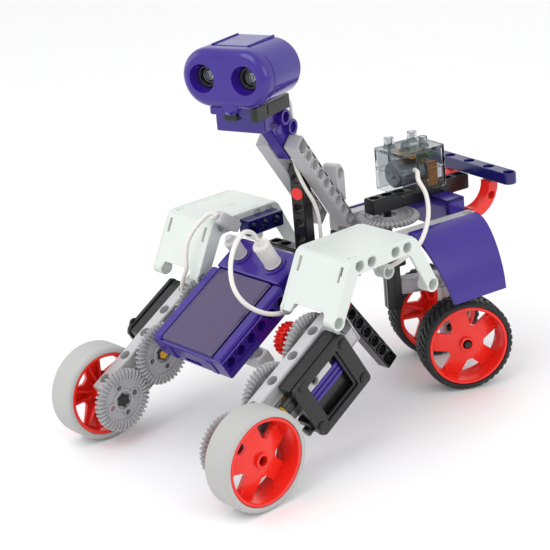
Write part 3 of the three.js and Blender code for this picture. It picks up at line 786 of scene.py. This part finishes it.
# ---------------------------------------------------------------- control case
def case_body():
    outline = rounded([(37, 8.6), (38.6, 8), (99.5, 8), (99.5, 22.4), (37, 22.4)], 1.2, 3)
    tray = slab_x(outline, -34, 34, bevel=0.7)
    cuts = [box((-24.6, 24.6), (40.5, 98.6), (10.4, 30), 1)]
    holes = [(43 + 10 * i, 17.4) for i in range(6)]
    for s in (-1, 1):
        a, b = sorted((s * 35, s * 28))
        cuts += [rod("x", 3.5, a, b, at, 28, 0) for at in holes]
        frame_line = rounded([(38.6, 12.8), (98, 12.8), (98, 21.6), (38.6, 21.6)], 0.8, 2)
        a, b = sorted((s * 35, s * 33.1))
        cuts.append(slab_x(frame_line, a, b, [ring(t, n, 4.3, 24) for t, n in holes], 0))
    cuts.append(box((-8, 8), (36, 38.4), (10.5, 14), 0.5))
    body = carve(tray, *cuts)
    parts = [body]
    for s in (-1, 1):
        a, b = sorted((s * 25.2, s * 33.4))
        parts.append(box((a, b), (37.5, 99.3), (21.6, 24.4), 1.0, 3))
        parts.append(box((s * 20 - 3, s * 20 + 3), (36.4, 38.5), (9, 20), 0.5))
    parts.append(box((-25.4, 25.4), (37.6, 39.6), (20.6, 22.6), 0.5))
    deck = rounded([(99.8, 14), (127.5, 14), (127.5, 21), (124, 25.2), (99.8, 25.2)], 1.5, 3)
    parts.append(slab_x(deck, -29.4, 29.4, bevel=1.2))
    for s in (-1, 1):
        a, b = sorted((s * 29, s * 33.6))
        parts.append(box((a, b), (97, 116), (12, 19.5), 0.8))
    parts.append(tube("z", 8.2, 5.9, 24.6, 26.2, (15, 112.4), 40))
    parts.append(tube("z", 7.0, 5.1, 24.6, 26.2, (-15.8, 111.6), 40))
    return join(*parts)


def lid():
    """The clear cover: a shallow arched pane with rolled edges."""
    edge = [*arc(-22, 23.4, 2, 225, 90, 6), *arc(22, 23.4, 2, 90, -45, 6)]
    parts = [slab_y([(-x, n) for x, n in edge], 38.7, 98.4, bevel=0.5)]
    for s in (-1, 1):
        parts.append(rod("y", 0.55, 40, 97, (s * 22.9, 25.0), 12, 0.1))
    return join(*parts)


piece("control_case_v", "chassis", "violet", case_body(), LEGS, ["control_case"])
piece("case_lid_v", "lid", "smoke_violet", lid(), LEGS, ["case_lid"])
cells = [box((-20 + 13.4 * k, -7 + 13.4 * k), (45, 91), (10.8, 20.6), 1.5, 3) for k in range(3)]
piece(
    "battery_block_v", "chassis", "indigo", join(*cells, box((-18, 18), (46, 60), (20, 20.9), 0.3)), LEGS,
    ["battery_block"],
)


def round_plug(r, height):
    rings = [tube("z", r + 0.25, r - 0.6, z, z + 0.9, n=36, bevel=0.25) for z in (1.2, height - 2.4)]
    return join(
        rod("z", r, 0, height, n=40, bevel=0.8), rod("z", 2.6, height - 1, height + 3, n=24, bevel=0.5),
        *rings,
    )


piece(
    "plug_white_v", "chassis", "white", round_plug(5.5, 19), LEGS @ T(15, 112.4, 25.5),
    ["plug_white"],
)
piece(
    "plug_grey_v", "chassis", "grey", round_plug(4.7, 15), LEGS @ T(-15.8, 111.6, 25.5),
    ["plug_grey"],
)
ribs = [box((-4.1, 4.1), (5 + 2.2 * k, 6.2 + 2.2 * k), (-4.1, 4.1), 0.3) for k in range(5)]
flat = join(box((-4, 4), (0, 4.4), (-4, 4), 0.8), box((-3.4, 3.4), (3, 18), (-3.4, 3.4), 0.6), *ribs)
piece("plug_flat_v", "chassis", "grey", flat, T(-34.7, 83, 132) @ RX(-38), ["plug_flat"])


# ---------------------------------------------------------------- neck and head
for side, x in (("left", 10.3), ("right", -10.3)):
    piece(
        f"neck_beam_{side}_v", "chassis", "grey", beam(9, range(9)), LEAN @ T(x, 0, 0),
        [f"neck_beam_{side}"],
    )
cuts = [rod("y", 3.4, 0, 12, (0, z), 28, 0) for z in (113, 123, 133, 143, 153)]
mast = carve(box((-4.8, 4.8), (1, 11), (103, 163), 0.6), *cuts)
piece("mast_v", "chassis", "black", mast, NECK, ["mast"])
piece("mast_pin", "chassis", "red", moved(pin(3.2, 4), T(0, 1.9, 143) @ RZ(90)), NECK)


def bracket():
    bar = moved(box((-4.8, 4.8), (-27.5, 9), (-5, 5), 0.7), SLOPE)
    face = slab_y(
        rounded([(-29, 193.5), (4.8, 193.5), (4.8, 204), (-29, 204)], 1.2, 3), -38.5, -35.5, bevel=0.5,
    )
    arm = slab_x(
        rounded([(-38, 193.5), (-12, 193.5), (-12, 204), (-38, 204)], 1, 3), 1.8, 4.8,
        [ring(-17, 198.7, 3.3, 24)], 0.5,
    )
    lobes = [tube("x", 5.1, 3.3, 2.2, 8.2, (y, z), 32) for y, z in ((-17, 198.7), (-9.5, 190.5))]
    web = moved(box((2.4, 5.2), (-12, 8), (-4.6, 4.6), 0.6), SLOPE @ T(0, -6, 1.5))
    return join(bar, face, arm, web, *lobes)


piece("neck_bracket_v", "chassis", "violet", bracket(), NECK, ["neck_bracket"])


def yoke():
    outline = rounded(
        [(-14, -52), (-5.2, -52), (-5.2, -38), (5.2, -38), (5.2, -52), (10, -52), (10, -14), (-14, -14)], 1,
        2,
    )
    body = slab_z(outline, 204.4, 213.4, bevel=0.6)
    parts = [body, rod("x", 2.4, -6, 6, (-46, 210.5))]
    parts.append(box((4, 10.4), (-40, -20), (206, 212.6), 0.5))
    return join(*parts)


piece("head_yoke_v", "chassis", "black", yoke(), NECK, ["head_yoke"])
elbow = slab_x(
    rounded([(26, 141.2), (36, 128.9), (36, 150), (31, 156), (26, 156)], 2, 4), 5.3, 15.3,
    [ring(31, 149, 3.4, 24)], 0.6,
)
piece("neck_elbow_v", "chassis", "grey", elbow, NECK, ["neck_elbow"])


def stadium(half, r, z):
    """Two half circles of radius r, half apart from the middle, joined by straight lines."""
    return [*arc(half, z, r, -90, 90, 20), *arc(-half, z, r, 90, 270, 20)]


def loft(rows):
    """A solid through (y, half, radius) stadiums, closed at both ends."""
    bm = bmesh.new()
    loops = [[bm.verts.new((x, y, z)) for x, z in stadium(half, r, 237)] for y, half, r in rows]
    for p, q in zip(loops, loops[1:]):
        for i in range(len(p)):
            j = (i + 1) % len(p)
            bm.faces.new((p[i], p[j], q[j], q[i]))
    bm.faces.new(loops[0])
    bm.faces.new(loops[-1])
    bmesh.ops.recalc_face_normals(bm, faces=bm.faces)
    me = bpy.data.meshes.new("loft")
    bm.to_mesh(me)
    bm.free()
    return me


def head():
    rows = [
        (-70.6, 12.2, 12.6), (-70.4, 12.2, 14.0), (-69.7, 12.2, 15.4), (-68.6, 12.2, 16.6), (-67.2, 12.2, 17.4),
        (-65.5, 12.2, 17.75), (-61.5, 12.2, 17.8), (-61.0, 12.2, 17.2), (-60.4, 12.2, 17.2), (-60.0, 12.2, 17.7),
        (-31.5, 12.2, 17.3), (-30, 12.2, 16.7), (-29.2, 12.2, 15.6), (-29, 12.2, 14.4),
    ]
    shell = loft(rows)
    hollow = loft([(-64, 12.2, 14.6), (-31, 12.2, 14.6)])
    eyes = []
    for x in (-14.7, 14.7):
        cone = turned(
            [(0, -74), (10.4, -74), (8.7, -70.6), (6.9, -64.5), (6.6, -63), (0, -63)], 48, closed=False,
        )
        eyes.append(moved(cone, T(x, 0, 237) @ RZ(90)))
    shell = carve(shell, hollow, *eyes)
    lug = slab_x(
        rounded([(-51, 208.5), (-43, 208.5), (-43, 222), (-51, 222)], 2.5, 4), -4.5, 4.5,
        [ring(-47, 213, 2.9, 24)], 0.4,
    )
    parts = [shell, lug]
    parts.append(moved(rod("y", 5.6, -70.2, -58, (0, 0), 40, 1.6), T(1.5, 0, 221)))
    parts.append(box((-13, 3), (-68, -58), (214.8, 219.8), 0.6))
    for s in (-1, 1):
        parts.append(box((s * 12.6 - 0.7, s * 12.6 + 0.7), (-59.5, -31), (254.0, 255.6), 0.3))
    parts.append(box((-12.3, 12.3), (-59.3, -30.5), (253.6, 254.9), 0.3))
    return join(*parts)


HEAD = NECK @ T(0, 1, -2.5)
piece("head_shell_v", "head", "violet", head(), HEAD, ["head_shell"])
board = [box((-22, 22), (-46, -44.4), (228, 246), 0.2)]
cans, meshes = [], []
for x in (-14.7, 14.7):
    cans.append(moved(tube("y", 6.5, 5.0, -64.8, -46, n=48), T(x, 0, 237)))
    grid = turned(
        [(0, -61.4), (2.0, -61.6), (3.6, -61.2), (5.1, -60.2), (5.1, -58), (0, -58)], 48, closed=False,
    )
    meshes.append(moved(grid, T(x, 0, 237) @ RZ(90)))
    for k in range(3):
        meshes.append(
            moved(tube("y", 1.5 + 1.5 * k, 1.1 + 1.5 * k, -62.2, -61, n=32, bevel=0.1), T(x, 0, 237))
        )
piece("sensor_module_v", "head", "black", join(*board, *cans), HEAD, ["sensor_module"])
piece("sensor_mesh", "head", "steel", join(*meshes), HEAD)


# ---------------------------------------------------------------- tail
piece(
    "tail_beam_v", "chassis", "black", beam(8, (), range(8)), TAIL @ T(0, 174, 124),
    ["tail_beam"],
)
for side, flip in SIDES:
    at = TAIL @ flip
    piece(
        f"side_beam_{side}_v", "chassis", "grey", beam(7, (1, 3, 5), (6,)), at @ T(30, 166, 108),
        [f"side_beam_{side}"],
    )
    bm = bmesh.new()
    line = [
        (35.4, 113.9), (39, 113.3), (43, 111.6), (47, 108.3), (50.5, 104), (53.6, 99), (56.3, 93.6),
        (58.6, 88), (60.5, 82), (62, 75.5), (63, 68.2),
    ]
    rows = []
    for k, (x, z) in enumerate(line):
        x2, z2 = line[min(k + 1, len(line) - 1)]
        x1, z1 = line[max(k - 1, 0)]
        d = Vector((x2 - x1, z2 - z1)).normalized()
        nx, nz = d.y * 2.1, -d.x * 2.1
        y0 = 173.6 + max(0, (114 - z)) * 0.29
        rows.append([(x, y0, z), (x, 229, z), (x + nx, 229, z + nz), (x + nx, y0, z + nz)])
    vs = [[bm.verts.new(p) for p in row] for row in rows]
    for p, q in zip(vs, vs[1:]):
        for i in range(4):
            bm.faces.new((p[i], p[(i + 1) % 4], q[(i + 1) % 4], q[i]))
    bm.faces.new(vs[0])
    bm.faces.new(vs[-1])
    bmesh.ops.recalc_face_normals(bm, faces=bm.faces)
    me = bpy.data.meshes.new("fender")
    bm.to_mesh(me)
    bm.free()
    piece(f"fender_{side}_v", "chassis", "violet", me, at, [f"fender_{side}"])
    sector = [*arc(236, 126, 21.9, -95, 4, 24), *arc(236, 126, 14.2, 4, -95, 24)]
    arm = slab_x(
        sector, 15.4, 24.5, [ring(236 + 18 * math.cos(rad(-28)), 126 + 18 * math.sin(rad(-28)), 2.6, 20)],
        0.8,
    )
    piece(f"red_arm_{side}_v", "chassis", "red", arm, at, [f"red_arm_{side}"])
wing = slab_z(
    [*arc(40, 0, 4.9, -90, 90, 12), *arc(-40, 0, 4.9, 90, 270, 12)], 128.5, 136.3,
    [ring(x, 0, 3.4, 28) for x in (-40, -20, 0, 20, 40)], 0.8,
)
piece("spoiler_v", "chassis", "indigo", wing, TAIL @ T(0, 254, 0), ["spoiler"])
u_shape = [box((-24.6, 24.6), (214.1, 217), (102, 118.5), 0.6)]
for s in (-1, 1):
    near, far = sorted((s * 5.6, s * 24.6))
    u_shape.append(box((near, far), (214.1, 228.9), (119.4, 122.4), 0.6))
    u_shape.append(box((near, far), (214.1, 217), (117.5, 122.3), 0.6))
    u_shape.append(box((s * 23.1 - 1.5, s * 23.1 + 1.5), (214.1, 228.9), (102, 122.4), 0.6))
piece("tail_bracket_v", "chassis", "violet", join(*u_shape), TAIL, ["tail_bracket"])


def housing():
    shape = rounded([(-15, 186), (15, 186), (15, 223), (-15, 223)], 3, 4)
    inner = rounded([(-13.4, 187.6), (13.4, 187.6), (13.4, 221.4), (-13.4, 221.4)], 2, 3)
    parts = [
        slab_z(shape, 129.5, 143.1, [inner], 0.6), slab_z(shape, 143.4, 156.2, [inner], 0.6),
        slab_z(shape, 155.4, 157.4, (), 0.7),
    ]
    for x, y in ((-7.5, 194), (7.5, 196), (7.5, 210), (-7.5, 213)):
        parts.append(tube("z", 3.3, 1.9, 157.2, 163.9, (x, y), 32))
        parts.append(tube("z", 4.2, 3.1, 157.2, 158.4, (x, y), 32))
    parts += [
        box((-15.2, -12), (198, 210), (129.6, 157), 0.5), box((12, 15.2), (200, 208), (129.6, 157), 0.5),
    ]
    return join(*parts)


piece("motor_housing_v", "chassis", "smoke", housing(), TAIL, ["motor_housing"])
can = join(rod("y", 8.8, 190, 209.8, (0, 141), 48, 1), rod("y", 3, 188.6, 191, (0, 141)))
piece("tail_motor_v", "chassis", "steel", can, TAIL, ["tail_motor"])
piece(
    "tail_gearbox", "chassis", "copper", box((-10.6, 10.6), (210, 219), (130.2, 146), 0.8), TAIL,
)
piece("tail_board", "chassis", "green", box((-11, 11), (203, 219), (150.5, 151.8), 0.1), TAIL)
piece(
    "tail_bar", "chassis", "yellow",
    join(box((-9, 9), (199, 203), (151, 154.2), 0.5), rod("z", 2.6, 146, 154.5, (4, 210))), TAIL,
)


# ---------------------------------------------------------------- rear swivel
gear = moved(big_gear(), RY(90))
piece("swivel_gear_v", "swivel", "gear", gear, SWIVEL @ T(0, 0, 116), ["swivel_gear"])
block = box((-4.8, 4.8), (-4.8, 4.8), (50, 101.6), 0.5)
grooves = [box((-1, 1), (s * 4.8 - 0.6, s * 4.8 + 0.6), (49, 99), 0.1) for s in (-1, 1)]
grooves += [box((s * 4.8 - 0.6, s * 4.8 + 0.6), (-1, 1), (49, 99), 0.1) for s in (-1, 1)]
piece(
    "swivel_post_v", "swivel", "black", join(carve(block, *grooves), star("z", 101, 126)), SWIVEL,
    ["swivel_post"],
)
across = moved(beam(4, (1, 2)), T(0, 10.3, 65))
across = join(across, box((-5, 5), (35.5, 42.5), (60, 70), 0.5))
leg_post = carve(
    box((-5, 5), (TRAIL - 5, TRAIL + 5), (24, 61), 0.6), rod("x", 3, -6, 6, (TRAIL, WHEEL_R), 28, 0),
)
piece("swivel_arm_v", "swivel", "grey", join(across, leg_post), SWIVEL, ["swivel_arm"])
piece(
    "rear_axle_v", "swivel", "black", star("x", -39.5, 39.5, c=(TRAIL, WHEEL_R)), SWIVEL,
    ["rear_axle"],
)
for side, flip in SIDES:
    at = SWIVEL @ flip @ T(REAR_MID, TRAIL, WHEEL_R)
    piece(f"rim_rear_{side}_v", f"wheel_rear_{side}", "red", rim(), at, [f"rim_rear_{side}"])
    piece(
        f"tyre_rear_{side}_v", f"wheel_rear_{side}", "tyre_black", rear_tyre(), at,
        [f"tyre_rear_{side}"],
    )


# ---------------------------------------------------------------- floor and light
bm = bmesh.new()
bmesh.ops.create_grid(bm, x_segments=1, y_segments=1, size=3)
me = bpy.data.meshes.new("floor")
bm.to_mesh(me)
bm.free()
floor = bpy.data.objects.new("floor", me)
floor.location.z = -0.0003
bpy.context.scene.collection.objects.link(floor)
M["floor"] = plastic("floor", (246, 246, 247), 0.55, vary=0.01, grain=0.02)
me.materials.append(M["floor"])


def area(name, at, aim, size, power):
    data = bpy.data.lights.new(name, "AREA")
    data.shape = "RECTANGLE"
    data.size, data.size_y = size
    data.energy = power
    ob = bpy.data.objects.new(name, data)
    ob.location = at
    ob.rotation_euler = (Vector(aim) - Vector(at)).to_track_quat("-Z", "Y").to_euler()
    bpy.context.scene.collection.objects.link(ob)


area("key", (0.1, -0.5, 1.0), (0, 0.1, 0.1), (0.7, 0.7), 3.5)
area("side", (1.1, 0.3, 0.6), (0, 0.1, 0.1), (0.8, 0.6), 2.5)
area("left", (-0.8, -0.6, 0.5), (0, 0.1, 0.1), (0.7, 0.7), 1.5)
world = bpy.data.worlds.new("world")
world.use_nodes = True
world.node_tree.nodes["Background"].inputs["Color"].default_value = (1, 1, 1, 1)
world.node_tree.nodes["Background"].inputs["Strength"].default_value = 1.0
bpy.context.scene.world = world
bpy.context.scene.view_settings.view_transform = "Standard"
